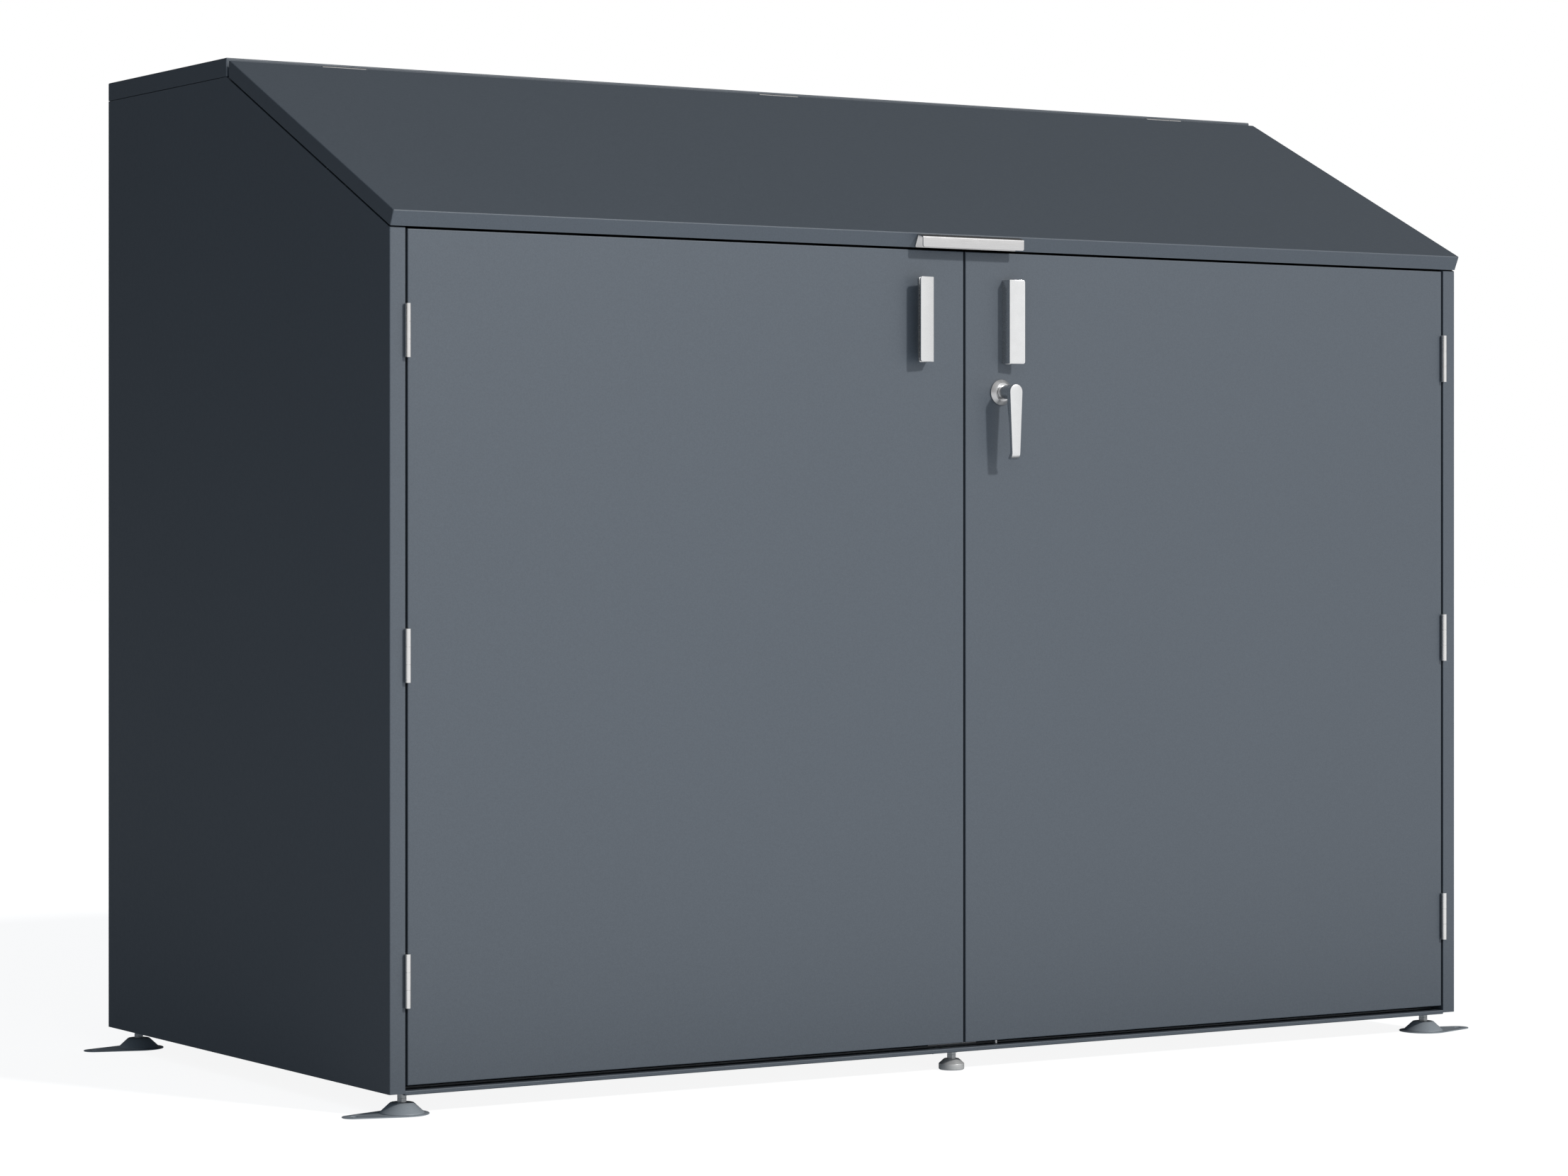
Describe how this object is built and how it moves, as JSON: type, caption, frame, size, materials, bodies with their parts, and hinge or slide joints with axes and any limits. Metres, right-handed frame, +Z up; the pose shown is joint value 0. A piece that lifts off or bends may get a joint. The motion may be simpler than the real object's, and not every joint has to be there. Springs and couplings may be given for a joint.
{
  "type": "bicycle locker",
  "caption": "Sheet-steel bicycle locker with double doors, a sloped lift-up lid, a fixed roof cap and levelling feet.",
  "frame": {"origin": "on the ground, in the middle of the rectangle of the four anchor holes", "axes": "+X to the right seen from the front, +Y to the rear so that the doors face -Y, +Z up"},
  "size_m": [2.113, 1.051, 1.5705],
  "materials": {
    "painted_steel": "fine textured powder coat, anthracite grey",
    "black_steel": "black painted steel",
    "galvanised_steel": "galvanised sheet",
    "stainless_steel": "stainless steel, turned or rolled",
    "aluminium": "anodised aluminium, satin",
    "rubber": "black rubber"
  },
  "bodies": {
    "root": {"left_side_panel": "painted_steel", "right_side_panel": "painted_steel", "rear_panel": "painted_steel", "roof_cap": "painted_steel", "front_header_rail": "painted_steel", "rear_header_rail": "painted_steel", "floor_tray": "painted_steel", "front_sill_rail": "painted_steel", "rear_base_rail": "painted_steel", "centre_bearer": "black_steel", "front_wheel_channel": "galvanised_steel", "rear_wheel_channel": "galvanised_steel", "door_stop_angle": "galvanised_steel", "door_buffers": "rubber", "left_door_frame_leaves": "stainless_steel", "right_door_frame_leaves": "stainless_steel", "door_hinge_pins": "stainless_steel", "lid_frame_leaves": "stainless_steel", "lid_hinge_pins": "stainless_steel", "strut_wall_brackets": "galvanised_steel", "foot_mounting_plates": "galvanised_steel", "levelling_stems": "stainless_steel", "levelling_nuts": "stainless_steel", "centre_foot_discs": "stainless_steel"},
    "left_door": {"left_door_panel": "painted_steel", "left_door_stiffeners": "galvanised_steel", "left_door_hinge_leaves": "stainless_steel", "left_door_pull": "aluminium", "left_pull_screws": "stainless_steel", "shoot_bolt_guides": "galvanised_steel"},
    "upper_bolt": {"upper_shoot_bolt": "stainless_steel"},
    "lower_bolt": {"lower_shoot_bolt": "stainless_steel"},
    "right_door": {"right_door_panel": "painted_steel", "right_door_stiffeners": "galvanised_steel", "right_door_hinge_leaves": "stainless_steel", "right_door_pull": "aluminium", "right_pull_screws": "stainless_steel", "lock_rosette": "aluminium", "lock_case": "galvanised_steel", "lock_rod_guides": "galvanised_steel"},
    "lever": {"lever_handle": "aluminium", "lock_cam": "galvanised_steel"},
    "upper_rod": {"upper_lock_rod": "stainless_steel"},
    "lower_rod": {"lower_lock_rod": "stainless_steel"},
    "lid": {"lid_panel": "painted_steel", "lid_stiffeners": "galvanised_steel", "lid_hinge_leaves": "stainless_steel", "lid_pull": "aluminium", "lid_keepers": "galvanised_steel", "strut_lid_brackets": "galvanised_steel"},
    "left_strut": {"left_strut_tube": "black_steel"},
    "left_strut_end": {"left_strut_rod": "stainless_steel"},
    "right_strut": {"right_strut_tube": "black_steel"},
    "right_strut_end": {"right_strut_rod": "stainless_steel"},
    "front_left_base": {"front_left_foot": "painted_steel"},
    "front_right_base": {"front_right_foot": "painted_steel"},
    "rear_left_base": {"rear_left_foot": "painted_steel"},
    "rear_right_base": {"rear_right_foot": "painted_steel"}
  },
  "joints": [
    {"name": "left_door_hinge", "type": "hinge", "parent": "root", "child": "left_door", "pos_m": [-0.973, -0.507, 0.7], "axis": [0, 0, -1], "range_deg": [0, 170]},
    {"name": "right_door_hinge", "type": "hinge", "parent": "root", "child": "right_door", "pos_m": [0.973, -0.507, 0.7], "axis": [0, 0, 1], "range_deg": [0, 170]},
    {"name": "lid_hinge", "type": "hinge", "parent": "root", "child": "lid", "pos_m": [0, 0.04425, 1.5621], "axis": [-1, 0, 0], "range_deg": [0, 65]},
    {"name": "lever_turn", "type": "hinge", "parent": "right_door", "child": "lever", "pos_m": [0.069, -0.5025, 1.058], "axis": [0, -1, 0], "range_deg": [0, 90]},
    {"name": "upper_rod_slide", "type": "slide", "parent": "right_door", "child": "upper_rod", "axis": [0, 0, 1], "range_m": [0, 0.01416]},
    {"name": "lower_rod_slide", "type": "slide", "parent": "right_door", "child": "lower_rod", "axis": [0, 0, -1], "range_m": [0, 0.01416]},
    {"name": "upper_bolt_slide", "type": "slide", "parent": "left_door", "child": "upper_bolt", "axis": [0, 0, 1], "range_m": [0, 0.014]},
    {"name": "lower_bolt_slide", "type": "slide", "parent": "left_door", "child": "lower_bolt", "axis": [0, 0, -1], "range_m": [0, 0.014]},
    {"name": "left_strut_swing", "type": "hinge", "parent": "root", "child": "left_strut", "pos_m": [-0.955, 0.16425, 1.4521], "axis": [-1, 0, 0], "range_deg": [0, 20.65]},
    {"name": "left_strut_travel", "type": "slide", "parent": "left_strut", "child": "left_strut_end", "axis": [0, -0.9834, 0.1816], "range_m": [0, 0.06996]},
    {"name": "right_strut_swing", "type": "hinge", "parent": "root", "child": "right_strut", "pos_m": [0.955, 0.16425, 1.4521], "axis": [-1, 0, 0], "range_deg": [0, 20.65]},
    {"name": "right_strut_travel", "type": "slide", "parent": "right_strut", "child": "right_strut_end", "axis": [0, -0.9834, 0.1816], "range_m": [0, 0.06996]},
    {"name": "front_left_foot_swivel", "type": "hinge", "parent": "root", "child": "front_left_base", "pos_m": [-0.962, -0.4665, 0.012], "axis": [0, 0, 1], "continuous": true},
    {"name": "front_right_foot_swivel", "type": "hinge", "parent": "root", "child": "front_right_base", "pos_m": [0.962, -0.4665, 0.012], "axis": [0, 0, 1], "continuous": true},
    {"name": "rear_left_foot_swivel", "type": "hinge", "parent": "root", "child": "rear_left_base", "pos_m": [-0.962, 0.4665, 0.012], "axis": [0, 0, 1], "continuous": true},
    {"name": "rear_right_foot_swivel", "type": "hinge", "parent": "root", "child": "rear_right_base", "pos_m": [0.962, 0.4665, 0.012], "axis": [0, 0, 1], "continuous": true}
  ],
  "couplings": [
    {"joint": "upper_rod_slide", "follows": "lever_turn", "m_per_rad": 0.009003},
    {"joint": "lower_rod_slide", "follows": "lever_turn", "m_per_rad": 0.009003},
    {"joint": "left_strut_swing", "follows": "lid_hinge", "ratio": 0.31756},
    {"joint": "left_strut_travel", "follows": "lid_hinge", "m_per_rad": 0.061647},
    {"joint": "right_strut_swing", "follows": "lid_hinge", "ratio": 0.31756},
    {"joint": "right_strut_travel", "follows": "lid_hinge", "m_per_rad": 0.061647}
  ]
}
